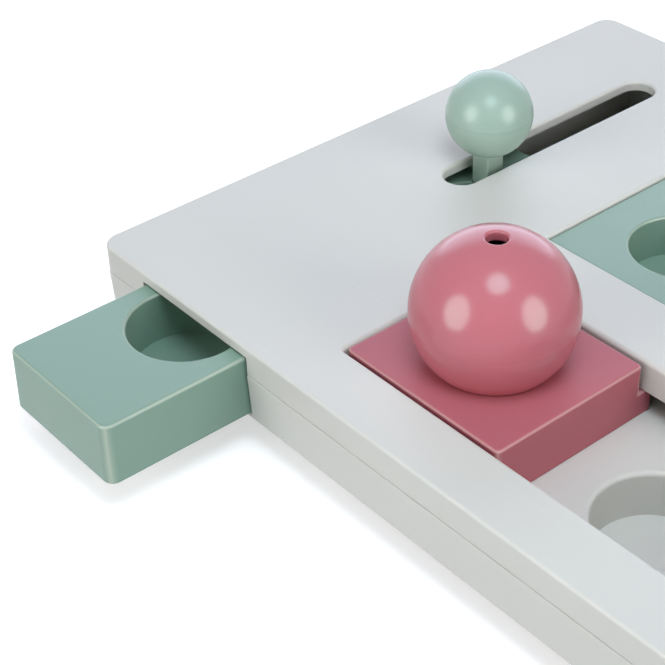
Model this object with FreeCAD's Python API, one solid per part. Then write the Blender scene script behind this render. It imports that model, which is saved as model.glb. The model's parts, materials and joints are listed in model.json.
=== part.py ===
import FreeCAD, Part
import math
import os

# Cat puzzle feeder: a two-shell plastic board on four rubber feet, with a drawer that a
# ball knob pushes in and out, a block with a treat ball that slides in a channel, and a
# tray of four food cups.  Millimetres, +Z up.  The floor is at Z 0.  X runs along the
# front of the board, Y from the front to the back.
#
# Plan sizes are written in board coordinates, with their zero at the front left corner of
# the top face's flat part.  place() moves every finished piece into the part's frame, whose origin is
# midway between the two sides and midway between the drawer's front and the back wall.

# How far a cutting solid reaches past a face, and a boss or rib into the wall it grows from
overcut = 1.0
rooting = 0.5

# Board
board_length = 207.0
board_width = 200.0
top_z = 32.0
seam_z = 23.55
skirt_z = 9.2
plate_thickness = 3.0
corner_radius = 4.7
top_flare = 0.45
seam_flare = 0.6
skirt_inset = 0.2
skirt_edge_radius = 0.3
top_edge_radius = 0.9
seam_gap = 0.15
seam_edge_radius = 0.25
top_wall_inset = 1.9
base_wall_inset = 2.3
tongue_outer_inset = 2.0
tongue_inner_inset = 3.2
tongue_bottom_z = 21.5
tongue_top_z = 25.0
channel_edge_radius = 1.2
tray_opening_edge_radius = 0.8
opening_corner_radius = 1.0

# Deck of the base and its underside
deck_z = 16.25
deck_thickness = 2.0
deck_rib_thickness = 1.2
deck_rib_depth = 2.8
deck_rib_x = (92.0, 136.2, 180.0)
deck_rib_y = (78.5, 137.0)

# Sliding channel
channel_x = (81.35, 190.2)
channel_y = (17.15, 68.5)
channel_wall = 2.0
channel_wall_bottom_z = 23.25
channel_cup_x = (108.15, 163.3)
channel_cup_radius = 16.0
channel_cup_depth = 13.0
channel_cup_wall = 1.7
channel_cup_floor = 1.5
channel_cup_rim_radius = 1.2

# Slider block, as it stands in the channel
slider_x = (81.55, 134.9)
slider_mid_y = 42.62
slider_half_width = 24.48
slider_flange_half_width = 28.68
slider_top_z = 31.8
slider_bottom_z = 16.45
slider_flange_top_z = 22.9
slider_corner_radius = 1.6
slider_top_radius = 0.8
slider_flange_radius = 0.8
slider_wall = 2.0
slider_cup_radius = 15.04
slider_cup_floor_z = 18.3
slider_cup_bottom = 1.6
slider_rim_radius = 0.7

# Treat ball
ball_radius = 20.86
ball_wall = 2.5
ball_hole_radius = 2.7
ball_hole_edge_radius = 0.6
ball_seat_gap = 0.05

# Tray of cups
tray_opening_x = (79.95, 188.65)
tray_opening_y = (90.1, 183.5)
tray_top_z = 31.2
tray_panel_gap = 0.2
tray_panel_edge_radius = 0.7
tray_flange_top_z = 30.1
tray_flange_thickness = 1.9
tray_overlap = 3.2
tray_corner_radius = 2.0
tray_cup_radius = 14.9
tray_cup_inset_x = 26.97
tray_cup_inset_y = 24.68
tray_cup_depth = 12.15
tray_cup_wall = 1.6
cup_draft = 0.3
cup_rim_radius = 0.8

# Drawer, by its top outline, which widens downwards by the draft, and the bay that it runs in
drawer_x = (20.85, 64.3)
drawer_y = (-42.4, 125.0)
drawer_draft = 0.4
drawer_top_z = 28.5
drawer_box_back_y = 70.0
drawer_tail_top_z = 25.4
drawer_bottom_z = 10.85
drawer_wall = 2.0
drawer_corner_radius = 2.6
drawer_top_radius = 0.9
drawer_bottom_radius = 0.3
drawer_cup_centre = (42.6, -2.66)
drawer_cup_radius = 15.63
drawer_cup_depth = 14.1
drawer_cup_wall = 1.7
drawer_cup_bottom = 1.8
bay_x = (20.15, 65.05)
bay_back_y = 190.6
bay_floor_z = 10.6
bay_wall = 1.8
bay_wall_top_z = 22.8

# Knob on the drawer's tail, and its slot in the top
slot_x = (35.5, 46.2)
slot_y = (90.3, 174.8)
slot_edge_radius = 0.9
knob_x = 40.85
knob_y = 105.9
knob_ball_radius = 12.445
knob_ball_z = 47.72
post_width = 6.4
post_depth = 6.4
post_corner_radius = 0.6
post_fit_gap = 0.04
post_mouth_gap = 0.3
post_mouth_depth = 1.5
post_bottom_z = 19.2
post_top_z = 44.0
socket_boss_radius = 6.5
socket_boss_bottom_z = 16.0
socket_floor_z = 19.0
knob_hole_top_z = 44.3

# Screws, legs and feet
leg_inset_x = 10.5
leg_inset_y = 12.0
leg_radius = 7.0
leg_bottom_z = 2.6
foot_radius = 6.4
foot_plug_radius = 5.5
foot_plug_gap = 0.1
foot_plug_top_z = 4.9
foot_edge_radius = 0.8
foot_recess_top_z = 5.1
screw_post_radius = 4.5
screw_boss_radius = 3.6
screw_meet_z = 20.0
screw_seat_z = 12.0
screw_recess_radius = 3.3
screw_clearance_radius = 1.7
screw_pilot_radius = 1.3
screw_pilot_top_z = 28.0
screw_shank_radius = 1.25
screw_shank_top_z = 26.5
screw_head_radius = 2.9
screw_head_height = 2.0
screw_head_edge_radius = 0.6
middle_foot_radius = 5.3
cross_width = 0.8
cross_length = 3.4
cross_depth = 0.9
middle_screws = ((73.4, 78.5), (198.6, 78.5))

leg_places = (
    (leg_inset_x, leg_inset_y),
    (board_length - leg_inset_x, leg_inset_y),
    (leg_inset_x, board_width - leg_inset_y),
    (board_length - leg_inset_x, board_width - leg_inset_y),
)
frame_shift = FreeCAD.Vector(
    -board_length / 2.0,
    -(board_width + seam_flare + drawer_y[0] - drawer_draft) / 2.0,
    0.0,
)
up = FreeCAD.Vector(0, 0, 1)


def vector(x, y, z=0.0):
    return FreeCAD.Vector(x, y, z)


def rounded_wire(x0, y0, x1, y1, radius, z):
    """Closed outline of a rectangle with round corners, flat at height z."""
    centres = ((x1 - radius, y0 + radius, -90), (x1 - radius, y1 - radius, 0),
               (x0 + radius, y1 - radius, 90), (x0 + radius, y0 + radius, 180))
    arcs = []
    for cx, cy, start in centres:
        circle = Part.Circle(vector(cx, cy, z), up, radius)
        arc = Part.ArcOfCircle(circle, math.radians(start), math.radians(start + 90))
        arcs.append(arc.toShape())
    edges = []
    for index, arc in enumerate(arcs):
        following = arcs[(index + 1) % 4]
        side = Part.LineSegment(arc.valueAt(arc.LastParameter),
                                following.valueAt(following.FirstParameter))
        edges.append(arc)
        edges.append(side.toShape())
    return Part.Wire(edges)


def rounded_block(x0, y0, x1, y1, z0, z1, radius):
    """Upright block with round vertical corners."""
    face = Part.Face(rounded_wire(x0, y0, x1, y1, radius, z0))
    return face.extrude(vector(0, 0, z1 - z0))


def block(x0, y0, x1, y1, z0, z1):
    return Part.makeBox(x1 - x0, y1 - y0, z1 - z0, vector(x0, y0, z0))


def board_block(inset, z0, z1):
    """Block of the board's plan, drawn in all round by inset."""
    return rounded_block(inset, inset, board_length - inset, board_width - inset,
                         z0, z1, corner_radius - inset)


def leaning_block(x0, y0, x1, y1, z0, z1, radius, lean):
    """Upright block whose given outline is at the top and is larger by lean at the bottom."""
    low = rounded_wire(x0 - lean, y0 - lean, x1 + lean, y1 + lean, radius + lean, z0)
    high = rounded_wire(x0, y0, x1, y1, radius, z1)
    return Part.makeLoft([low, high], True, True)


def cylinder(x, y, z0, z1, radius):
    return Part.makeCylinder(radius, z1 - z0, vector(x, y, z0))


def cone(x, y, z0, z1, radius_low, radius_high):
    return Part.makeCone(radius_low, radius_high, z1 - z0, vector(x, y, z0))


def edges_where(shape, test):
    """Edges whose bounding box passes the test."""
    return [edge for edge in shape.Edges if test(edge.BoundBox)]


def flat_at(z, box, tolerance=0.01):
    return abs(box.ZMin - z) < tolerance and abs(box.ZMax - z) < tolerance


def within(box, x0, y0, x1, y1, margin=0.1):
    return (box.XMin > x0 - margin and box.XMax < x1 + margin
            and box.YMin > y0 - margin and box.YMax < y1 + margin)


def round_rim(shape, x0, y0, x1, y1, z, radius):
    """Round the edges at height z that lie inside a plan rectangle."""
    rim = edges_where(shape, lambda box: flat_at(z, box) and within(box, x0, y0, x1, y1))
    return shape.makeFillet(radius, rim)


def cup_hollow(x, y, floor_z, rim_z, rim_radius):
    """Hollow of a cup with a little draft, open at the top."""
    slope = cup_draft / (rim_z - floor_z)
    return cone(x, y, floor_z, rim_z + overcut, rim_radius - cup_draft,
                rim_radius + slope * overcut)


def place(shape):
    moved = shape.copy()
    moved.translate(frame_shift)
    return moved


def export(name, shape):
    placed = place(shape)
    if not placed.isValid():
        raise ValueError(name + " is not a valid shape")
    placed.exportStep(os.path.join("parts", name + ".step"))
    box = placed.BoundBox
    print("%-16s solids %d volume %9.1f  x %.2f %.2f  y %.2f %.2f  z %.2f %.2f" % (
        name, len(placed.Solids), placed.Volume,
        box.XMin, box.XMax, box.YMin, box.YMax, box.ZMin, box.ZMax))


def make_top_shell():
    """Upper shell: plate, sides, channel walls, screw bosses and the four openings."""
    shell = board_block(-top_flare, seam_z, top_z)
    shell = shell.makeFillet(top_edge_radius, edges_where(shell, lambda box: flat_at(top_z, box)))
    shell = shell.makeFillet(seam_edge_radius, edges_where(shell, lambda box: flat_at(seam_z, box)))
    plate_bottom_z = top_z - plate_thickness
    shell = shell.cut(board_block(top_wall_inset, seam_z - overcut, plate_bottom_z))

    rail = block(channel_x[0] - channel_wall, channel_y[0] - channel_wall,
                 channel_x[1] + channel_wall, channel_y[1] + channel_wall,
                 channel_wall_bottom_z, plate_bottom_z + rooting)
    shell = shell.fuse(rail)
    for x, y in leg_places + middle_screws:
        shell = shell.fuse(cylinder(x, y, screw_meet_z, plate_bottom_z + rooting, screw_boss_radius))

    shell = shell.cut(rounded_block(channel_x[0], channel_y[0], channel_x[1], channel_y[1],
                                    channel_wall_bottom_z - overcut, top_z + overcut,
                                    opening_corner_radius))
    slot_radius = (slot_x[1] - slot_x[0]) / 2.0 - 0.001
    shell = shell.cut(rounded_block(slot_x[0], slot_y[0], slot_x[1], slot_y[1],
                                    plate_bottom_z - overcut, top_z + overcut, slot_radius))
    shell = shell.cut(rounded_block(tray_opening_x[0], tray_opening_y[0],
                                    tray_opening_x[1], tray_opening_y[1],
                                    plate_bottom_z - overcut, top_z + overcut,
                                    opening_corner_radius))
    shell = shell.cut(rounded_block(tray_opening_x[0] - tray_overlap, tray_opening_y[0] - tray_overlap,
                                    tray_opening_x[1] + tray_overlap, tray_opening_y[1] + tray_overlap,
                                    plate_bottom_z - overcut, tray_flange_top_z,
                                    tray_corner_radius))
    for x, y in leg_places + middle_screws:
        shell = shell.cut(cylinder(x, y, screw_meet_z - overcut, screw_pilot_top_z, screw_pilot_radius))
    mouth = block(bay_x[0], -seam_flare - overcut, bay_x[1], top_wall_inset + overcut,
                  seam_z - overcut, plate_bottom_z)
    shell = shell.cut(mouth)

    shell = shell.removeSplitter()
    shell = round_rim(shell, channel_x[0], channel_y[0], channel_x[1], channel_y[1],
                      top_z, channel_edge_radius)
    shell = round_rim(shell, slot_x[0], slot_y[0], slot_x[1], slot_y[1], top_z, slot_edge_radius)
    shell = round_rim(shell, tray_opening_x[0], tray_opening_y[0],
                      tray_opening_x[1], tray_opening_y[1], top_z, tray_opening_edge_radius)
    return shell


def make_base_shell():
    """Lower shell: sides, deck with two cups, drawer bay, legs and screw posts."""
    rim_z = seam_z - seam_gap
    shell = leaning_block(-seam_flare, -seam_flare, board_length + seam_flare,
                          board_width + seam_flare, skirt_z, rim_z, corner_radius + seam_flare,
                          -(seam_flare + skirt_inset))
    shell = shell.makeFillet(seam_edge_radius, edges_where(shell, lambda box: flat_at(rim_z, box)))
    shell = shell.makeFillet(skirt_edge_radius,
                             edges_where(shell, lambda box: flat_at(skirt_z, box)))
    shell = shell.cut(board_block(base_wall_inset, deck_z, seam_z + overcut))
    deck_bottom_z = deck_z - deck_thickness
    shell = shell.cut(board_block(base_wall_inset, skirt_z - overcut, deck_bottom_z))

    tongue = board_block(tongue_outer_inset, tongue_bottom_z, tongue_top_z)
    tongue = tongue.cut(board_block(tongue_inner_inset, tongue_bottom_z - overcut,
                                    tongue_top_z + overcut))
    shell = shell.fuse(tongue)

    bay = block(bay_x[0] - bay_wall, base_wall_inset - overcut, bay_x[1] + bay_wall,
                bay_back_y + bay_wall, skirt_z, bay_wall_top_z)
    shell = shell.fuse(bay)
    for x in deck_rib_x:
        shell = shell.fuse(block(x - deck_rib_thickness / 2, base_wall_inset - overcut,
                                 x + deck_rib_thickness / 2, board_width - base_wall_inset + overcut,
                                 deck_bottom_z - deck_rib_depth, deck_bottom_z + rooting))
    for y in deck_rib_y:
        shell = shell.fuse(block(bay_x[1] + rooting, y - deck_rib_thickness / 2,
                                 board_length - base_wall_inset + overcut, y + deck_rib_thickness / 2,
                                 deck_bottom_z - deck_rib_depth, deck_bottom_z + rooting))
    cup_floor_z = deck_z - channel_cup_depth
    for x in channel_cup_x:
        shell = shell.fuse(cone(x, slider_mid_y, cup_floor_z - channel_cup_floor,
                                deck_bottom_z + rooting,
                                channel_cup_radius - cup_draft + channel_cup_wall,
                                channel_cup_radius + channel_cup_wall))
    for x, y in leg_places:
        shell = shell.fuse(cylinder(x, y, leg_bottom_z, deck_bottom_z + rooting, leg_radius))
    for x, y in middle_screws:
        shell = shell.fuse(cylinder(x, y, skirt_z, deck_bottom_z + rooting, middle_foot_radius))
    for x, y in leg_places + middle_screws:
        shell = shell.fuse(cylinder(x, y, deck_z - rooting, screw_meet_z, screw_post_radius))

    shell = shell.cut(block(bay_x[0], -seam_flare - overcut, bay_x[1], bay_back_y,
                            bay_floor_z, tongue_top_z + overcut))
    for x in channel_cup_x:
        shell = shell.cut(cup_hollow(x, slider_mid_y, cup_floor_z, deck_z, channel_cup_radius))
    for x, y in leg_places:
        shell = shell.cut(cylinder(x, y, leg_bottom_z - overcut, foot_recess_top_z,
                                   foot_plug_radius + foot_plug_gap))
    for x, y in leg_places + middle_screws:
        shell = shell.cut(cylinder(x, y, leg_bottom_z - overcut, screw_seat_z, screw_recess_radius))
        shell = shell.cut(cylinder(x, y, screw_seat_z - overcut, screw_meet_z + overcut,
                                   screw_clearance_radius))
    shell = shell.removeSplitter()
    for x in channel_cup_x:
        reach = channel_cup_radius + overcut
        shell = round_rim(shell, x - reach, slider_mid_y - reach, x + reach, slider_mid_y + reach,
                          deck_z, channel_cup_rim_radius)
    return shell


def make_cup_tray():
    """Tray with a flange under the upper shell's lip, a panel in the opening and four cups."""
    plate_bottom_z = tray_flange_top_z - tray_flange_thickness
    flange = rounded_block(tray_opening_x[0] - tray_overlap, tray_opening_y[0] - tray_overlap,
                           tray_opening_x[1] + tray_overlap, tray_opening_y[1] + tray_overlap,
                           plate_bottom_z, tray_flange_top_z, tray_corner_radius)
    tray = rounded_block(tray_opening_x[0] + tray_panel_gap, tray_opening_y[0] + tray_panel_gap,
                         tray_opening_x[1] - tray_panel_gap, tray_opening_y[1] - tray_panel_gap,
                         plate_bottom_z, tray_top_z, opening_corner_radius - tray_panel_gap)
    tray = tray.makeFillet(tray_panel_edge_radius,
                           edges_where(tray, lambda box: flat_at(tray_top_z, box)))
    tray = tray.fuse(flange)
    centres = [(x, y)
               for y in (tray_opening_y[0] + tray_cup_inset_y, tray_opening_y[1] - tray_cup_inset_y)
               for x in (tray_opening_x[0] + tray_cup_inset_x, tray_opening_x[1] - tray_cup_inset_x)]
    floor_z = tray_top_z - tray_cup_depth
    for x, y in centres:
        tray = tray.fuse(cone(x, y, deck_z, plate_bottom_z + rooting,
                              tray_cup_radius - cup_draft + tray_cup_wall,
                              tray_cup_radius + tray_cup_wall))
    for x, y in centres:
        tray = tray.cut(cup_hollow(x, y, floor_z, tray_top_z, tray_cup_radius))
    tray = tray.removeSplitter()
    for x, y in centres:
        reach = tray_cup_radius + overcut
        tray = round_rim(tray, x - reach, y - reach, x + reach, y + reach,
                         tray_top_z, cup_rim_radius)
    return tray


def post_block(gap, z0, z1):
    """Upright bar of the knob post's section, larger by a gap all round."""
    half_x = post_width / 2.0 + gap
    half_y = post_depth / 2.0 + gap
    return rounded_block(knob_x - half_x, knob_y - half_y, knob_x + half_x, knob_y + half_y,
                         z0, z1, post_corner_radius + gap)


def make_drawer():
    """Drawer: a box with a cup, and a long lower tail that carries the knob's socket."""
    drawer = leaning_block(drawer_x[0], drawer_y[0], drawer_x[1], drawer_y[1],
                           drawer_bottom_z, drawer_top_z, drawer_corner_radius, drawer_draft)
    drawer = drawer.makeFillet(drawer_top_radius,
                               edges_where(drawer, lambda box: flat_at(drawer_top_z, box)))
    drawer = drawer.cut(block(drawer_x[0] - overcut, drawer_box_back_y, drawer_x[1] + overcut,
                              drawer_y[1] + overcut, drawer_tail_top_z, drawer_top_z + overcut))
    drawer = drawer.makeFillet(drawer_bottom_radius,
                               edges_where(drawer, lambda box: flat_at(drawer_bottom_z, box)))
    for back_y, roof_z in ((drawer_box_back_y, drawer_top_z), (drawer_y[1], drawer_tail_top_z)):
        drawer = drawer.cut(block(drawer_x[0] + drawer_wall, drawer_y[0] + drawer_wall,
                                  drawer_x[1] - drawer_wall, back_y - drawer_wall,
                                  drawer_bottom_z - overcut, roof_z - drawer_wall))
    cup_x, cup_y = drawer_cup_centre
    cup_floor_z = drawer_top_z - drawer_cup_depth
    drawer = drawer.fuse(cone(cup_x, cup_y, cup_floor_z - drawer_cup_bottom,
                              drawer_top_z - drawer_wall + rooting,
                              drawer_cup_radius - cup_draft + drawer_cup_wall,
                              drawer_cup_radius + drawer_cup_wall))
    drawer = drawer.fuse(cylinder(knob_x, knob_y, socket_boss_bottom_z,
                                  drawer_tail_top_z - drawer_wall + rooting, socket_boss_radius))
    drawer = drawer.cut(cup_hollow(cup_x, cup_y, cup_floor_z, drawer_top_z, drawer_cup_radius))
    drawer = drawer.cut(post_block(post_fit_gap, socket_floor_z, drawer_tail_top_z + overcut))
    drawer = drawer.cut(post_block(post_mouth_gap, drawer_tail_top_z - post_mouth_depth,
                                   drawer_tail_top_z + overcut))
    drawer = drawer.cut(cylinder(knob_x, knob_y, socket_boss_bottom_z - overcut,
                                 socket_floor_z + overcut, screw_clearance_radius))
    drawer = drawer.removeSplitter()
    reach = drawer_cup_radius + overcut
    return round_rim(drawer, cup_x - reach, cup_y - reach, cup_x + reach, cup_y + reach,
                     drawer_top_z, cup_rim_radius)


def make_knob_post():
    """Upright bar from the drawer's socket through the slot into the ball."""
    post = post_block(0.0, post_bottom_z, post_top_z)
    return post.cut(cylinder(knob_x, knob_y, post_bottom_z - overcut, screw_pilot_top_z,
                             screw_pilot_radius))


def make_knob_ball():
    """Ball with a blind hole that is pushed onto the post."""
    ball = Part.makeSphere(knob_ball_radius, vector(knob_x, knob_y, knob_ball_z))
    return ball.cut(post_block(post_fit_gap, knob_ball_z - knob_ball_radius - overcut, knob_hole_top_z))


def make_screw(x, y, seat_z, shank_top_z):
    """Pan head screw that is driven upwards, with a cross recess."""
    head_bottom_z = seat_z - screw_head_height
    head = cylinder(x, y, head_bottom_z, seat_z, screw_head_radius)
    head = head.makeFillet(screw_head_edge_radius,
                           edges_where(head, lambda box: flat_at(head_bottom_z, box)))
    screw = head.fuse(cylinder(x, y, seat_z - rooting, shank_top_z, screw_shank_radius))
    half_length = cross_length / 2.0
    half_width = cross_width / 2.0
    for span_x, span_y in ((half_length, half_width), (half_width, half_length)):
        screw = screw.cut(block(x - span_x, y - span_y, x + span_x, y + span_y,
                                head_bottom_z - overcut, head_bottom_z + cross_depth))
    return screw.removeSplitter()


def make_housing_screws():
    screws = [make_screw(x, y, screw_seat_z, screw_shank_top_z)
              for x, y in leg_places + middle_screws]
    return Part.makeCompound(screws)


def make_knob_screw():
    return make_screw(knob_x, knob_y, socket_boss_bottom_z, screw_shank_top_z)


def make_ball_slider():
    """Block with side flanges that run under the channel walls, and a cup on top."""
    half = slider_half_width
    flange_half = slider_flange_half_width
    flange = rounded_block(slider_x[0], slider_mid_y - flange_half,
                           slider_x[1], slider_mid_y + flange_half,
                           slider_bottom_z, slider_flange_top_z, slider_flange_radius)
    body = rounded_block(slider_x[0], slider_mid_y - half, slider_x[1], slider_mid_y + half,
                         slider_bottom_z, slider_top_z, slider_corner_radius)
    body = body.makeFillet(slider_top_radius,
                           edges_where(body, lambda box: flat_at(slider_top_z, box)))
    slider = body.fuse(flange)
    slider = slider.cut(block(slider_x[0] + slider_wall, slider_mid_y - half + slider_wall,
                              slider_x[1] - slider_wall, slider_mid_y + half - slider_wall,
                              slider_bottom_z - overcut, slider_top_z - slider_wall))
    cup_x = channel_cup_x[0]
    slider = slider.fuse(cone(cup_x, slider_mid_y, slider_cup_floor_z - slider_cup_bottom,
                              slider_top_z - slider_wall + rooting,
                              slider_cup_radius - cup_draft + slider_wall,
                              slider_cup_radius + slider_wall))
    slider = slider.cut(cup_hollow(cup_x, slider_mid_y, slider_cup_floor_z, slider_top_z,
                                   slider_cup_radius))
    slider = slider.removeSplitter()
    reach = slider_cup_radius + overcut
    return round_rim(slider, cup_x - reach, slider_mid_y - reach, cup_x + reach,
                     slider_mid_y + reach, slider_top_z, slider_rim_radius)


def ball_centre_z():
    """Height of the treat ball's centre when it rests on the rounded rim of its cup."""
    to_rim = slider_cup_radius + slider_rim_radius
    reach = ball_radius + slider_rim_radius
    return (slider_top_z - slider_rim_radius
            + math.sqrt(reach ** 2 - to_rim ** 2) + ball_seat_gap)


def make_treat_ball():
    """Hollow ball with one hole at the top."""
    centre = vector(channel_cup_x[0], slider_mid_y, ball_centre_z())
    ball = Part.makeSphere(ball_radius, centre)
    ball = ball.cut(Part.makeSphere(ball_radius - ball_wall, centre))
    ball = ball.cut(cylinder(centre.x, centre.y, centre.z, centre.z + ball_radius + overcut,
                             ball_hole_radius))
    rim_z = centre.z + math.sqrt(ball_radius ** 2 - ball_hole_radius ** 2)
    rim = edges_where(ball, lambda box: flat_at(rim_z, box, 0.05))
    return ball.makeFillet(ball_hole_edge_radius, rim)


def make_foot(x, y):
    """Rubber foot: a disc with a plug that is pressed into the leg."""
    disc = cylinder(x, y, 0.0, leg_bottom_z, foot_radius)
    disc = disc.makeFillet(foot_edge_radius, edges_where(disc, lambda box: flat_at(0.0, box)))
    return disc.fuse(cylinder(x, y, leg_bottom_z - rooting, foot_plug_top_z,
                              foot_plug_radius)).removeSplitter()


os.makedirs("parts", exist_ok=True)
export("top_shell", make_top_shell())
export("base_shell", make_base_shell())
export("cup_tray", make_cup_tray())
export("drawer", make_drawer())
export("knob_post", make_knob_post())
export("knob_ball", make_knob_ball())
export("knob_screw", make_knob_screw())
export("ball_slider", make_ball_slider())
export("treat_ball", make_treat_ball())
foot_names = ("foot_front_left", "foot_front_right", "foot_back_left", "foot_back_right")
for foot_name, (foot_x, foot_y) in zip(foot_names, leg_places):
    export(foot_name, make_foot(foot_x, foot_y))
export("housing_screws", make_housing_screws())
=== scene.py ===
import json
import math

import bmesh
import bpy
from mathutils import Euler, Matrix, Vector

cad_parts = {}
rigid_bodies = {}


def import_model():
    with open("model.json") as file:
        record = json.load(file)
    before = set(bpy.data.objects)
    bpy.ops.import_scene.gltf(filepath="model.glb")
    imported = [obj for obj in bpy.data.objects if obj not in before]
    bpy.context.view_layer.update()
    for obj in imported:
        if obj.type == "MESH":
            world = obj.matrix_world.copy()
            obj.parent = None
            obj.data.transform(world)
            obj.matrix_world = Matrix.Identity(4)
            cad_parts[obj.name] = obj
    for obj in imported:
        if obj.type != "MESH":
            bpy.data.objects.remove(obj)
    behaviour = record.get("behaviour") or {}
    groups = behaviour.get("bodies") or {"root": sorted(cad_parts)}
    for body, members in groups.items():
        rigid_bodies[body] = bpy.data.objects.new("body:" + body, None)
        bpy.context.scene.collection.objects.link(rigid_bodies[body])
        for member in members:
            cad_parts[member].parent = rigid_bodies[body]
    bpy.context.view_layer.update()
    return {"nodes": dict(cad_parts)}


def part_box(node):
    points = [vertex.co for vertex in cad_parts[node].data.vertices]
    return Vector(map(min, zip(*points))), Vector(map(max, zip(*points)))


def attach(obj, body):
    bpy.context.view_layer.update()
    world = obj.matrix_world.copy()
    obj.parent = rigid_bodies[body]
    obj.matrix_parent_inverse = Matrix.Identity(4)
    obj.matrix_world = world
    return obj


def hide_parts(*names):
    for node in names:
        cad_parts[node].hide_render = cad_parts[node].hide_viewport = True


bl_info = {
    "name": "Cat puzzle feeder",
    "version": (1, 0, 0),
    "blender": (4, 5, 0),
    "location": "3D View > Sidebar > Feeder",
    "description": "Finishes the pieces of a cat puzzle feeder and sets up its studio",
    "category": "Object",
}

for leftover in list(bpy.data.objects):
    bpy.data.objects.remove(leftover)

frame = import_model()

SHELLS = ("top_shell", "base_shell")
FEET = ("foot_front_left", "foot_front_right", "foot_back_left", "foot_back_right")
SCREWS = ("housing_screws", "knob_screw")

# The photograph's viewpoint: place in metres, and turns about X, Y and Z in degrees
CAMERA_PLACE = (0.23499, -0.26939, 0.28069)
CAMERA_TURNS = (53.596, 1.693, 50.226)
CAMERA_LENS = 90.96
CAMERA_SENSOR = 36.0

# Middle of the board's top, which the lamps aim at, and colours of the light
BOARD_TOP = Vector((0.0, 0.0, 0.03))
WHITE = (1.0, 1.0, 1.0)
COOL = (0.80, 0.97, 1.06)
BLUISH = (0.76, 0.84, 1.04)
LILAC = (0.97, 0.96, 1.07)


def node_middle(node):
    """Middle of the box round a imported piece."""
    low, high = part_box(node)
    return (Vector(low) + Vector(high)) / 2


def colour_property(name, description, default):
    return bpy.props.FloatVectorProperty(name=name, description=description, default=default,
                                         subtype="COLOR", size=3, min=0.0, max=1.0)


def length_property(name, description, default):
    return bpy.props.FloatProperty(name=name, description=description, default=default,
                                   unit="LENGTH", subtype="DISTANCE", min=0.0, precision=5)


def strength_property(name, description, default):
    return bpy.props.FloatProperty(name=name, description=description, default=default, min=0.0)


def number_property(name, description, default):
    return bpy.props.FloatProperty(name=name, description=description, default=default,
                                   subtype="FACTOR", min=0.0, max=1.0)


class FEEDER_PG_colours(bpy.types.PropertyGroup):
    shell: colour_property("Shell", "Warm light grey of the two housing mouldings", (0.655, 0.643, 0.600))
    mint: colour_property("Mint", "Muted mint of the tray and the drawer", (0.206, 0.328, 0.259))
    knob: colour_property("Knob", "Lighter mint of the knob and its post", (0.350, 0.476, 0.402))
    block: colour_property("Block", "Dusty rose of the sliding block", (0.455, 0.132, 0.158))
    ball: colour_property("Ball", "Dusty rose of the treat ball", (0.535, 0.150, 0.182))
    # Crests: pale colour painted on the crests of small roundings as a painted highlight, for the light
    # those edges catch; it is not rub wear.
    crest: colour_property("Crests", "Pale colour that shows on rubbed edges", (1.0, 0.95, 0.78))
    rubber: colour_property("Feet", "Grey of the soft rubber feet", (0.230, 0.235, 0.235))
    steel: colour_property("Screws", "Zinc plated steel", (0.560, 0.565, 0.570))


class FEEDER_PG_surface(bpy.types.PropertyGroup):
    grain: length_property("Mould grain", "Width of the fine texture left by the mould", 0.00045)
    grain_depth: length_property("Grain depth", "Depth of the mould grain", 0.000006)
    ripple: length_property("Ripple", "Width of the slow waves in the mouldings", 0.011)
    ripple_depth: length_property("Ripple depth", "Depth of the slow waves", 0.000025)
    housing_gloss: number_property("Housing roughness", "Roughness of the two shells", 0.42)
    moulding_gloss: number_property("Moulding roughness", "Roughness of tray, drawer and block", 0.38)
    housing_reflection: number_property("Housing reflection", "Reflection of the two shells", 0.215)
    mint_reflection: number_property("Mint reflection", "Reflection of tray, drawer and post", 0.51)
    block_reflection: number_property("Block reflection", "Reflection of the sliding block", 0.15)
    # Shares of the painted crest highlight on the edges of the shells and of the other mouldings.
    housing_crest_highlight: number_property("Housing crests", "Share of pale colour on the shells' edges", 0.14)
    moulding_crest_highlight: number_property("Moulding crests", "Share of pale colour on the other edges", 0.25)
    crest_radius: length_property("Crest radius", "Largest rounding that counts as an edge", 0.0033)
    crest_breadth: length_property("Crest breadth", "Widest face on such a rounding", 0.0008)
    ball_gloss: number_property("Ball roughness", "Roughness of the treat ball", 0.19)
    knob_gloss: number_property("Knob roughness", "Roughness of the knob", 0.26)
    ball_reflection: number_property("Ball reflection", "Reflection of the treat ball", 0.33)
    knob_reflection: number_property("Knob reflection", "Reflection of the knob", 0.235)
    ball_tint: colour_property("Ball sheen", "Colour of the treat ball's reflections", (0.5, 1.0, 0.9))
    mint_glow: number_property("Mint glow", "Light that passes under the mint plastic's skin", 0.12)
    block_glow: number_property("Block glow", "Light that passes under the block's skin", 0.08)
    wear: number_property("Wear", "Strength of fine scratches and rubbed places", 0.35)


class FEEDER_PG_feet(bpy.types.PropertyGroup):
    radius: length_property("Foot radius", "Outer radius of the foot", 0.0064)
    plug_radius: length_property("Plug radius", "Radius of the plug in the leg", 0.0055)
    disc_height: length_property("Disc height", "Height of the part under the leg", 0.0026)
    plug_height: length_property("Plug top", "Height of the plug's top above the floor", 0.0049)
    groove_pitch: length_property("Groove pitch", "Distance between two rings of the tread", 0.0014)
    groove_depth: length_property("Groove depth", "Depth of the rings of the tread", 0.00035)
    edge: length_property("Edge radius", "Rounding of the foot's lower edge", 0.0008)


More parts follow.
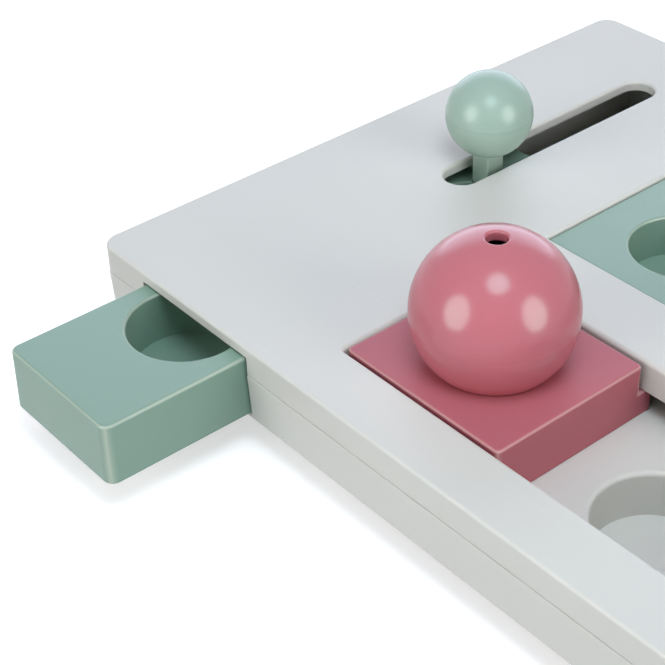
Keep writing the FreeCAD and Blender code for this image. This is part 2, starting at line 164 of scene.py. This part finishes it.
class FEEDER_PG_studio(bpy.types.PropertyGroup):
    top_lamp: strength_property("Round lamp", "Radiance of the round lamp above", 7.4)
    left_lamp: strength_property("Left softbox", "Radiance of the left softbox", 3.8)
    right_lamp: strength_property("Right softbox", "Radiance of the right softbox", 3.75)
    highlight: strength_property("Highlight", "Radiance that a softbox gains in mirrors", 5.6)
    back_wall: strength_property("Back wall", "Radiance of the lit wall behind, as it mirrors", 3.2)
    back_fill: strength_property("Back fill", "Radiance of the wall behind, as it lights", 1.25)
    overhead: strength_property("Overhead", "Radiance of the wide soft light above", 0.9)
    room: strength_property("Room light", "Strength of the light from all round", 0.05)
    floor: colour_property("Floor", "Pale floor", (0.80, 0.80, 0.80))
    floor_shine: strength_property("Floor shine", "White that the floor adds for the eye and mirrors", 0.55)
    floor_reach: length_property("Floor reach", "Distance from the floor's middle to its sides", 0.9)


def colours():
    """The colours set in the panel."""
    return bpy.context.scene.feeder_colours


def surface():
    """The finishes set in the panel."""
    return bpy.context.scene.feeder_surface


class Tree:
    """The nodes of one material, with short calls to add and join them."""

    def __init__(self, name):
        self.material = bpy.data.materials.new(name)
        self.material.use_nodes = True
        self.tree = self.material.node_tree
        self.shader = self.tree.nodes["Principled BSDF"]
        self.places = self.add("ShaderNodeTexCoord").outputs["Object"]

    def add(self, kind, **settings):
        """New node of a kind with its settings."""
        node = self.tree.nodes.new(kind)
        for key, value in settings.items():
            setattr(node, key, value)
        return node

    def join(self, source, target):
        """Link from an output to an input."""
        self.tree.links.new(source, target)

    def stretched(self, scale, turn=(0.0, 0.0, 0.0)):
        """Object coordinates, stretched along the axes and turned."""
        mapping = self.add("ShaderNodeMapping")
        mapping.inputs["Scale"].default_value = scale
        mapping.inputs["Rotation"].default_value = turn
        self.join(self.places, mapping.inputs["Vector"])
        return mapping.outputs["Vector"]

    def noise(self, width, detail=2.0, places=None, distortion=0.0):
        """Cloudy noise whose patches are about width across, in metres."""
        noise = self.add("ShaderNodeTexNoise")
        noise.inputs["Scale"].default_value = 1.0 / width
        noise.inputs["Detail"].default_value = detail
        noise.inputs["Distortion"].default_value = distortion
        self.join(places or self.places, noise.inputs["Vector"])
        return noise.outputs["Fac"]

    def ranged(self, value, from_low, from_high, to_low, to_high):
        """Value carried from one range to another and clamped."""
        node = self.add("ShaderNodeMapRange")
        node.inputs["From Min"].default_value = from_low
        node.inputs["From Max"].default_value = from_high
        node.inputs["To Min"].default_value = to_low
        node.inputs["To Max"].default_value = to_high
        self.join(value, node.inputs["Value"])
        return node.outputs["Result"]

    def maths(self, operation, first, second):
        """Result of a sum on two values, each a number or an output."""
        node = self.add("ShaderNodeMath", operation=operation)
        for socket, value in zip(node.inputs, (first, second)):
            if isinstance(value, (int, float)):
                socket.default_value = value
            else:
                self.join(value, socket)
        return node.outputs["Value"]

    def mixed(self, factor, first, second):
        """Colour between two colours."""
        mix = self.add("ShaderNodeMix", data_type="RGBA")
        self.join(factor, mix.inputs["Factor"])
        for socket, value in ((mix.inputs["A"], first), (mix.inputs["B"], second)):
            if isinstance(value, bpy.types.NodeSocket):
                self.join(value, socket)
            else:
                socket.default_value = (*value, 1.0)
        return mix.outputs["Result"]

    def bumped(self, height, depth, strength=1.0, under=None):
        """Normal with a height pattern of that depth in metres."""
        bump = self.add("ShaderNodeBump")
        bump.inputs["Strength"].default_value = strength
        bump.inputs["Distance"].default_value = depth
        self.join(height, bump.inputs["Height"])
        if under is not None:
            self.join(under, bump.inputs["Normal"])
        return bump.outputs["Normal"]


def spot(place):
    """A place rounded to a hundredth of a millimetre."""
    return tuple(round(part, 5) for part in place)


def sharpness(edge):
    """How sharply the surface bends outwards across an edge, as one over the radius in metres."""
    if len(edge.link_faces) != 2:
        return 0.0
    width = min(2.0 * face.calc_area() / edge.calc_length() for face in edge.link_faces)
    return edge.calc_face_angle_signed(0.0) / max(width, 0.0001)


def breadth(face):
    """Width of a face across its longest edge."""
    return 2.0 * face.calc_area() / max(edge.calc_length() for edge in face.edges)


def mark_crests(piece):
    """Note on the vertices how near they lie to the crest of a small outer rounding, from 0 to 1; this is
    the mask of the painted crest highlight.
    """
    limits = surface()
    shape = bmesh.new()
    shape.from_mesh(piece.data)
    bmesh.ops.remove_doubles(shape, verts=shape.verts, dist=2e-6)
    shape.normal_update()
    found = {}
    for vert in shape.verts:
        if max(map(breadth, vert.link_faces), default=1.0) > limits.crest_breadth:
            continue
        if max(map(sharpness, vert.link_edges)) * limits.crest_radius > 1.0:
            slant = (1.0 - max(abs(part) for part in vert.normal)) / (1.0 - math.sqrt(0.5))
            found[spot(vert.co)] = min(1.0, slant)
    shape.free()
    crest = piece.data.attributes.new("crest", "FLOAT", "POINT")
    for vert in piece.data.vertices:
        crest.data[vert.index].value = found.get(spot(vert.co), 0.0)


def shade(colour, amount):
    """The colour made lighter or darker by a share of itself."""
    return tuple(min(1.0, max(0.0, part * (1.0 + amount))) for part in colour)


def mould_grain(tree):
    """Fine mould texture over slow waves, as a normal."""
    look = surface()
    waves = tree.bumped(tree.noise(look.ripple, detail=1.0), look.ripple_depth)
    return tree.bumped(tree.noise(look.grain, detail=3.0), look.grain_depth, under=waves)


def painted_crest_highlights(tree, colour, share):
    """The colour with a share of the pale crest colour where mark_crests noted a crest: a painted highlight
    that stands in for the light small roundings catch.
    """
    crest = tree.add("ShaderNodeAttribute", attribute_name="crest").outputs["Fac"]
    return tree.mixed(tree.maths("MULTIPLY", crest, share), colour, tuple(colours().crest))


def scratches(tree, along):
    """Sparse fine lines that run along one axis, 1 on a line and 0 beside it."""
    lines = tree.noise(1.0, detail=2.0, places=tree.stretched(along), distortion=0.3)
    return tree.ranged(lines, 0.66, 0.72, 0.0, 1.0)


def moulded_plastic(name, colour, reflection, along, roughness, crest, glow=0.0):
    """Satin moulded plastic: uneven colour and gloss, mould grain, fine scratches, and a painted highlight
    on the crests of small roundings.
    """
    tree = Tree(name)
    look = surface()
    patches = tree.ranged(tree.noise(0.06, detail=3.0), 0.3, 0.7, 0.0, 1.0)
    marks = scratches(tree, along)
    base = tree.mixed(patches, shade(colour, -0.02), shade(colour, 0.02))
    worn = tree.mixed(tree.maths("MULTIPLY", marks, 0.25 * look.wear), base, shade(colour, 0.25))
    # Painted highlight: the pale crest colour mixed in on the crests of small roundings.
    tree.join(painted_crest_highlights(tree, worn, crest), tree.shader.inputs["Base Color"])
    gloss = tree.ranged(tree.noise(0.018, detail=4.0), 0.3, 0.7, roughness - 0.035, roughness + 0.035)
    rubbed = tree.maths("MULTIPLY", marks, 0.12 * look.wear)
    tree.join(tree.maths("ADD", gloss, rubbed), tree.shader.inputs["Roughness"])
    tree.join(mould_grain(tree), tree.shader.inputs["Normal"])
    tree.shader.inputs["IOR"].default_value = 1.49
    tree.shader.inputs["Specular IOR Level"].default_value = reflection
    tree.shader.inputs["Subsurface Weight"].default_value = glow
    tree.shader.inputs["Subsurface Radius"].default_value = (1.0, 0.9, 0.7)
    tree.shader.inputs["Subsurface Scale"].default_value = 0.0012
    return tree


def mint_plastic(name, along):
    """Moulded plastic in the colour of the tray and the drawer, with its fine scratches along an axis."""
    look = surface()
    return moulded_plastic(name, colours().mint, look.mint_reflection, along, look.moulding_gloss,
                           look.moulding_crest_highlight, glow=look.mint_glow)


def turned_plastic(name, colour, roughness, reflection, tint, line_height):
    """Plastic of a ball: faint turning rings round the upright axis and a rubbed parting line."""
    tree = Tree(name)
    patches = tree.ranged(tree.noise(0.02, detail=3.0), 0.3, 0.7, 0.0, 1.0)
    parts = tree.add("ShaderNodeSeparateXYZ")
    tree.join(tree.places, parts.inputs["Vector"])
    rings = tree.noise(1.0, detail=1.0, places=tree.stretched((3.0, 3.0, 900.0)))
    from_line = tree.maths("ABSOLUTE", tree.maths("SUBTRACT", parts.outputs["Z"], line_height), 0.0)
    line = tree.ranged(from_line, 0.00008, 0.00028, 1.0, 0.0)
    near_line = tree.ranged(from_line, 0.0010, 0.0032, 1.0, 0.0)
    streaks = tree.ranged(tree.noise(1.0, detail=2.0, places=tree.stretched((60.0, 60.0, 2600.0))),
                          0.45, 0.68, 0.0, 1.0)
    base = tree.mixed(patches, shade(colour, -0.012), shade(colour, 0.012))
    marked = tree.mixed(tree.maths("MULTIPLY", tree.maths("MULTIPLY", near_line, streaks), 0.16),
                        base, shade(colour, 0.45))
    tree.join(tree.mixed(tree.maths("MULTIPLY", line, 0.09), marked, shade(colour, -0.35)),
              tree.shader.inputs["Base Color"])
    gloss = tree.ranged(tree.noise(0.012, detail=1.0), 0.2, 0.8, roughness - 0.01, roughness + 0.01)
    tree.join(gloss, tree.shader.inputs["Roughness"])
    ringed = tree.bumped(rings, 0.000005)
    tree.join(tree.bumped(line, 0.00001, under=ringed), tree.shader.inputs["Normal"])
    tree.shader.inputs["IOR"].default_value = 1.49
    tree.shader.inputs["Specular IOR Level"].default_value = reflection
    tree.shader.inputs["Specular Tint"].default_value = (*tint, 1.0)
    return tree


def rubber(name):
    """Soft grey rubber with a fine tooth and dusty patches."""
    tree = Tree(name)
    colour = colours().rubber
    dust = tree.ranged(tree.noise(0.004, detail=4.0), 0.45, 0.7, 0.0, 0.6)
    tree.join(tree.mixed(dust, tuple(colour), shade(colour, 0.45)), tree.shader.inputs["Base Color"])
    tree.join(tree.ranged(tree.noise(0.002), 0.3, 0.7, 0.68, 0.86), tree.shader.inputs["Roughness"])
    tree.join(tree.bumped(tree.noise(0.0004, detail=3.0), 0.00003), tree.shader.inputs["Normal"])
    tree.shader.inputs["IOR"].default_value = 1.45
    return tree


def plated_steel(name):
    """Zinc plated steel with a cloudy, slightly brushed finish."""
    tree = Tree(name)
    colour = colours().steel
    clouds = tree.ranged(tree.noise(0.0012, detail=4.0), 0.3, 0.7, 0.0, 1.0)
    tree.join(tree.mixed(clouds, shade(colour, -0.15), shade(colour, 0.12)),
              tree.shader.inputs["Base Color"])
    tree.join(tree.ranged(tree.noise(0.0005, detail=3.0), 0.3, 0.7, 0.28, 0.48),
              tree.shader.inputs["Roughness"])
    brushed = tree.noise(1.0, detail=2.0, places=tree.stretched((2500.0, 300.0, 2500.0)))
    tree.join(tree.bumped(brushed, 0.000008), tree.shader.inputs["Normal"])
    tree.shader.inputs["Metallic"].default_value = 1.0
    return tree


def dress(nodes, tree):
    """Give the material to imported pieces, in their own material slots."""
    for node in nodes:
        piece = frame["nodes"][node]
        for index in range(len(piece.material_slots)):
            piece.material_slots[index].material = tree.material


def dress_moulding(nodes, tree):
    """Give the material to packed mouldings and note their crests for its painted crest highlight."""
    dress(nodes, tree)
    for node in nodes:
        mark_crests(frame["nodes"][node])


class FEEDER_OT_shells(bpy.types.Operator):
    """Finish the upper and lower housing mouldings"""

    bl_idname = "feeder.shells"
    bl_label = "Housing shells"

    def execute(self, context):
        look = surface()
        tree = moulded_plastic("shell_plastic", colours().shell, look.housing_reflection,
                               (12.0, 1100.0, 1100.0), look.housing_gloss, look.housing_crest_highlight)
        dress_moulding(SHELLS, tree)
        return {"FINISHED"}


class FEEDER_OT_tray(bpy.types.Operator):
    """Finish the tray with the four cups"""

    bl_idname = "feeder.tray"
    bl_label = "Cup tray"

    def execute(self, context):
        dress_moulding(("cup_tray",), mint_plastic("tray_plastic", (40.0, 1000.0, 1000.0)))
        return {"FINISHED"}


class FEEDER_OT_drawer(bpy.types.Operator):
    """Finish the drawer"""

    bl_idname = "feeder.drawer"
    bl_label = "Drawer"

    def execute(self, context):
        dress_moulding(("drawer",), mint_plastic("drawer_plastic", (1100.0, 14.0, 1100.0)))
        return {"FINISHED"}


class FEEDER_OT_knob(bpy.types.Operator):
    """Finish the knob's post and ball"""

    bl_idname = "feeder.knob"
    bl_label = "Knob"

    def execute(self, context):
        look = surface()
        tree = turned_plastic("knob_plastic", colours().knob, look.knob_gloss, look.knob_reflection,
                              WHITE, node_middle("knob_ball").z)
        dress(("knob_ball",), tree)
        # The post's colour is the knob's made 8 percent darker: painted shade for the post standing down in
        # the slot under the knob's ball.
        post = moulded_plastic("post_plastic_painted_shade", shade(colours().knob, -0.08), look.mint_reflection,
                               (900.0, 900.0, 60.0), look.moulding_gloss, 0.0, glow=look.mint_glow)
        dress(("knob_post",), post)
        return {"FINISHED"}


class FEEDER_OT_slider(bpy.types.Operator):
    """Finish the sliding block"""

    bl_idname = "feeder.slider"
    bl_label = "Sliding block"

    def execute(self, context):
        look = surface()
        tree = moulded_plastic("block_plastic", colours().block, look.block_reflection,
                               (18.0, 1100.0, 1100.0), look.moulding_gloss, look.moulding_crest_highlight,
                               glow=look.block_glow)
        dress_moulding(("ball_slider",), tree)
        return {"FINISHED"}


class FEEDER_OT_ball(bpy.types.Operator):
    """Finish the treat ball"""

    bl_idname = "feeder.ball"
    bl_label = "Treat ball"

    def execute(self, context):
        look = surface()
        below_middle = 0.0005
        tree = turned_plastic("ball_plastic", colours().ball, look.ball_gloss, look.ball_reflection,
                              tuple(look.ball_tint), node_middle("treat_ball").z - below_middle)
        dress(("treat_ball",), tree)
        return {"FINISHED"}


def foot_profile(feet):
    """Half outline of a foot, from the middle of its tread up to the middle of its plug."""
    points = [(0.0, feet.groove_depth)]
    radius = feet.groove_pitch * 0.5
    while radius + feet.groove_pitch < feet.radius - feet.edge:
        points.append((radius, feet.groove_depth))
        points.append((radius + feet.groove_pitch * 0.2, 0.0))
        points.append((radius + feet.groove_pitch * 0.6, 0.0))
        points.append((radius + feet.groove_pitch * 0.8, feet.groove_depth))
        radius += feet.groove_pitch
    points.append((feet.radius - feet.edge - feet.groove_pitch * 0.15, 0.0))
    for step in range(7):
        angle = math.radians(90 * step / 6)
        points.append((feet.radius - feet.edge + feet.edge * math.sin(angle),
                       feet.edge - feet.edge * math.cos(angle)))
    points.append((feet.radius, feet.disc_height))
    points.append((feet.plug_radius, feet.disc_height))
    points.append((feet.plug_radius, feet.plug_height))
    points.append((0.0, feet.plug_height))
    return points


def spun_mesh(name, points, centre, steps=72):
    """Mesh made by spinning a half outline round an upright axis through centre."""
    shape = bmesh.new()
    corners = [shape.verts.new((centre.x + radius, centre.y, height)) for radius, height in points]
    edges = [shape.edges.new(pair) for pair in zip(corners, corners[1:])]
    bmesh.ops.spin(shape, geom=corners + edges, cent=centre, axis=(0.0, 0.0, 1.0),
                   dvec=(0.0, 0.0, 0.0), angle=math.tau, steps=steps, use_merge=True)
    bmesh.ops.remove_doubles(shape, verts=shape.verts, dist=1e-7)
    bmesh.ops.recalc_face_normals(shape, faces=shape.faces)
    mesh = bpy.data.meshes.new(name)
    shape.to_mesh(mesh)
    shape.free()
    mesh.shade_smooth()
    mesh.set_sharp_from_angle(angle=math.radians(28))
    return mesh


def new_piece(name, mesh, tree, body):
    """Object for a new mesh, riding on a body with its finish."""
    piece = bpy.data.objects.new(name, mesh)
    bpy.context.scene.collection.objects.link(piece)
    mesh.materials.append(tree.material)
    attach(piece, body)
    return piece


class FEEDER_OT_feet(bpy.types.Operator):
    """Turn the four rubber feet with a ringed tread"""

    bl_idname = "feeder.feet"
    bl_label = "Rubber feet"

    def execute(self, context):
        tree = rubber("foot_rubber_soft")
        points = foot_profile(context.scene.feeder_feet)
        for node in FEET:
            centre = node_middle(node)
            centre.z = 0.0
            mesh = spun_mesh(node + "_treaded", points, centre)
            piece = new_piece(node + "_treaded", mesh, tree, "board")
            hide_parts(node)
        return {"FINISHED"}


class FEEDER_OT_screws(bpy.types.Operator):
    """Finish the screws"""

    bl_idname = "feeder.screws"
    bl_label = "Screws"

    def execute(self, context):
        dress(SCREWS, plated_steel("zinc_plating"))
        return {"FINISHED"}


def direction(azimuth, elevation):
    """Unit vector towards a place round the object, 0 being in front and 90 at the right."""
    turn = math.radians(azimuth)
    lift = math.radians(elevation)
    return Vector((math.sin(turn) * math.cos(lift), -math.cos(turn) * math.cos(lift), math.sin(lift)))


def facing(back, place):
    """Matrix of something at a place whose back points along a direction, kept level."""
    back = back.normalized()
    right = Vector((0.0, 0.0, 1.0)).cross(back).normalized()
    up = back.cross(right)
    turn = Matrix((right, up, back)).transposed().to_4x4()
    return Matrix.Translation(place) @ turn


def lamp(name, shape, size, radiance, colour, place, aim):
    """Area lamp that shows in reflections and not to the camera."""
    light = bpy.data.lights.new(name, "AREA")
    light.shape = shape
    light.size = size[0]
    light.size_y = size[-1]
    area = size[0] * size[-1] * (math.pi / 4 if shape in ("DISK", "ELLIPSE") else 1.0)
    light.energy = radiance * area * math.pi
    light.color = colour
    holder = bpy.data.objects.new(name, light)
    holder.matrix_world = facing(place - aim, place)
    holder.visible_camera = False
    bpy.context.scene.collection.objects.link(holder)
    return holder


def white_to_the_eye(tree):
    """1 for rays from the camera, and for those that mirror or pass through something."""
    path = tree.nodes.new("ShaderNodeLightPath")
    total = path.outputs["Is Camera Ray"]
    for name in ("Is Glossy Ray", "Is Transmission Ray"):
        either = tree.nodes.new("ShaderNodeMath")
        either.operation = "MAXIMUM"
        tree.links.new(total, either.inputs[0])
        tree.links.new(path.outputs[name], either.inputs[1])
        total = either.outputs["Value"]
    return total


def make_world(strength):
    """White to the eye and in reflections, soft even light to everything else."""
    world = bpy.data.worlds.new("studio")
    world.use_nodes = True
    tree = world.node_tree
    room = tree.nodes["Background"]
    room.inputs["Color"].default_value = (1.0, 1.0, 1.0, 1.0)
    room.inputs["Strength"].default_value = strength
    white = tree.nodes.new("ShaderNodeBackground")
    white.inputs["Color"].default_value = (1.0, 1.0, 1.0, 1.0)
    white.inputs["Strength"].default_value = 1.0
    mix = tree.nodes.new("ShaderNodeMixShader")
    tree.links.new(white_to_the_eye(tree), mix.inputs["Fac"])
    tree.links.new(room.outputs["Background"], mix.inputs[1])
    tree.links.new(white.outputs["Background"], mix.inputs[2])
    tree.links.new(mix.outputs["Shader"], tree.nodes["World Output"].inputs["Surface"])
    bpy.context.scene.world = world


def make_floor(colour, shine_strength, reach):
    """Pale floor that is white to the eye and keeps the object's shadow."""
    shape = bmesh.new()
    bmesh.ops.create_grid(shape, x_segments=1, y_segments=1, size=reach)
    mesh = bpy.data.meshes.new("floor")
    shape.to_mesh(mesh)
    shape.free()
    floor = bpy.data.objects.new("floor", mesh)
    bpy.context.scene.collection.objects.link(floor)
    material = bpy.data.materials.new("floor_paper")
    material.use_nodes = True
    tree = material.node_tree
    shader = tree.nodes["Principled BSDF"]
    shader.inputs["Base Color"].default_value = (*colour, 1.0)
    shader.inputs["Roughness"].default_value = 0.9
    shader.inputs["Specular IOR Level"].default_value = 0.0
    shine = tree.nodes.new("ShaderNodeEmission")
    shine.inputs["Color"].default_value = (1.0, 1.0, 1.0, 1.0)
    scaled = tree.nodes.new("ShaderNodeMath")
    scaled.operation = "MULTIPLY"
    scaled.inputs[1].default_value = shine_strength
    tree.links.new(white_to_the_eye(tree), scaled.inputs[0])
    tree.links.new(scaled.outputs["Value"], shine.inputs["Strength"])
    both = tree.nodes.new("ShaderNodeAddShader")
    tree.links.new(shader.outputs["BSDF"], both.inputs[0])
    tree.links.new(shine.outputs["Emission"], both.inputs[1])
    tree.links.new(both.outputs["Shader"], tree.nodes["Material Output"].inputs["Surface"])
    mesh.materials.append(material)


def make_camera():
    """Camera at the photograph's viewpoint."""
    camera = bpy.data.cameras.new("photo_view")
    camera.sensor_width = CAMERA_SENSOR
    camera.lens = CAMERA_LENS
    camera.clip_start = 0.01
    holder = bpy.data.objects.new("photo_view", camera)
    turns = Euler([math.radians(turn) for turn in CAMERA_TURNS])
    holder.matrix_world = Matrix.Translation(CAMERA_PLACE) @ turns.to_matrix().to_4x4()
    bpy.context.scene.collection.objects.link(holder)
    bpy.context.scene.camera = holder


def hang_round_lamp(radiance):
    """Round lamp above the front edge, a little brighter in mirrors than on the surfaces."""
    place = Vector((0.1325, -0.1308, 0.457))
    lamp("round_lamp", "DISK", (0.215,), radiance, COOL, place, BOARD_TOP)
    shown = lamp("round_highlight", "DISK", (0.214,), 0.4 * radiance, COOL, place * 0.998, BOARD_TOP)
    shown.visible_diffuse = False


def hang_softbox(side, azimuth, radiance, highlight):
    """Oval softbox beside the camera, with a second one that only mirrors show just before it."""
    towards = direction(azimuth, 17.5)
    lamp(side + "_softbox", "ELLIPSE", (1.00, 1.24), radiance, WHITE, BOARD_TOP + towards * 1.6, BOARD_TOP)
    shown = lamp(side + "_highlight", "ELLIPSE", (0.98, 1.22), highlight, WHITE,
                 BOARD_TOP + towards * 1.59, BOARD_TOP)
    shown.visible_diffuse = False


def light_wall(mirrored, fill):
    """Wall behind the object: three ovals in mirrors, brightest at the foot, and one as soft light."""
    wall = direction(-134.0, 0.0) * 1.5
    ovals = ((1.9, 1.0, 0.36), (2.3, 1.4, 0.52), (2.7, 1.8, 0.68))
    for index, (width, height, middle) in enumerate(ovals):
        level = Vector((0.0, 0.0, middle))
        shown = lamp("back_wall_%d" % index, "ELLIPSE", (width, height), mirrored / len(ovals), BLUISH,
                     wall * (1.0 - 0.003 * index) + level, level)
        shown.visible_diffuse = False
    level = Vector((0.0, 0.0, 0.66))
    soft = lamp("back_fill", "ELLIPSE", (3.0, 1.3), fill, BLUISH, wall + level, level)
    soft.visible_glossy = False


def hang_overhead(radiance):
    """Wide soft light from above that mirrors don't show."""
    above = lamp("overhead", "ELLIPSE", (2.0, 2.0), radiance, LILAC,
                 BOARD_TOP + direction(41.0, 80.0) * 1.5, BOARD_TOP)
    above.visible_glossy = False


class FEEDER_OT_stage(bpy.types.Operator):
    """Set up the floor, the lamps, the room and the camera"""

    bl_idname = "feeder.stage"
    bl_label = "Studio"

    def execute(self, context):
        studio = context.scene.feeder_studio
        context.scene.view_settings.view_transform = "Standard"
        make_camera()
        make_world(studio.room)
        make_floor(studio.floor, studio.floor_shine, studio.floor_reach)
        hang_round_lamp(studio.top_lamp)
        hang_softbox("left", -8.5, studio.left_lamp, studio.highlight)
        hang_softbox("right", 100.5, studio.right_lamp, studio.highlight)
        light_wall(studio.back_wall, studio.back_fill)
        hang_overhead(studio.overhead)
        return {"FINISHED"}


OPERATORS = (
    FEEDER_OT_shells,
    FEEDER_OT_tray,
    FEEDER_OT_drawer,
    FEEDER_OT_knob,
    FEEDER_OT_slider,
    FEEDER_OT_ball,
    FEEDER_OT_feet,
    FEEDER_OT_screws,
    FEEDER_OT_stage,
)
GROUPS = {
    "feeder_colours": FEEDER_PG_colours,
    "feeder_surface": FEEDER_PG_surface,
    "feeder_feet": FEEDER_PG_feet,
    "feeder_studio": FEEDER_PG_studio,
}


class FEEDER_PT_pieces(bpy.types.Panel):
    """Lists the pieces of the feeder and their settings"""

    bl_idname = "FEEDER_PT_pieces"
    bl_label = "Cat puzzle feeder"
    bl_space_type = "VIEW_3D"
    bl_region_type = "UI"
    bl_category = "Feeder"

    def draw(self, context):
        for operator in OPERATORS:
            self.layout.operator(operator.bl_idname)
        for group, kind in GROUPS.items():
            settings = getattr(context.scene, group)
            box = self.layout.box()
            for key in kind.__annotations__:
                box.prop(settings, key)


def register():
    for kind in (*GROUPS.values(), *OPERATORS, FEEDER_PT_pieces):
        bpy.utils.register_class(kind)
    for group, kind in GROUPS.items():
        setattr(bpy.types.Scene, group, bpy.props.PointerProperty(type=kind))


def unregister():
    for group in GROUPS:
        delattr(bpy.types.Scene, group)
    for kind in reversed((*GROUPS.values(), *OPERATORS, FEEDER_PT_pieces)):
        bpy.utils.unregister_class(kind)


def main():
    """Make every piece and the studio."""
    register()
    for operator in OPERATORS:
        family, name = operator.bl_idname.split(".")
        getattr(getattr(bpy.ops, family), name)()


if __name__ == "__main__":
    main()
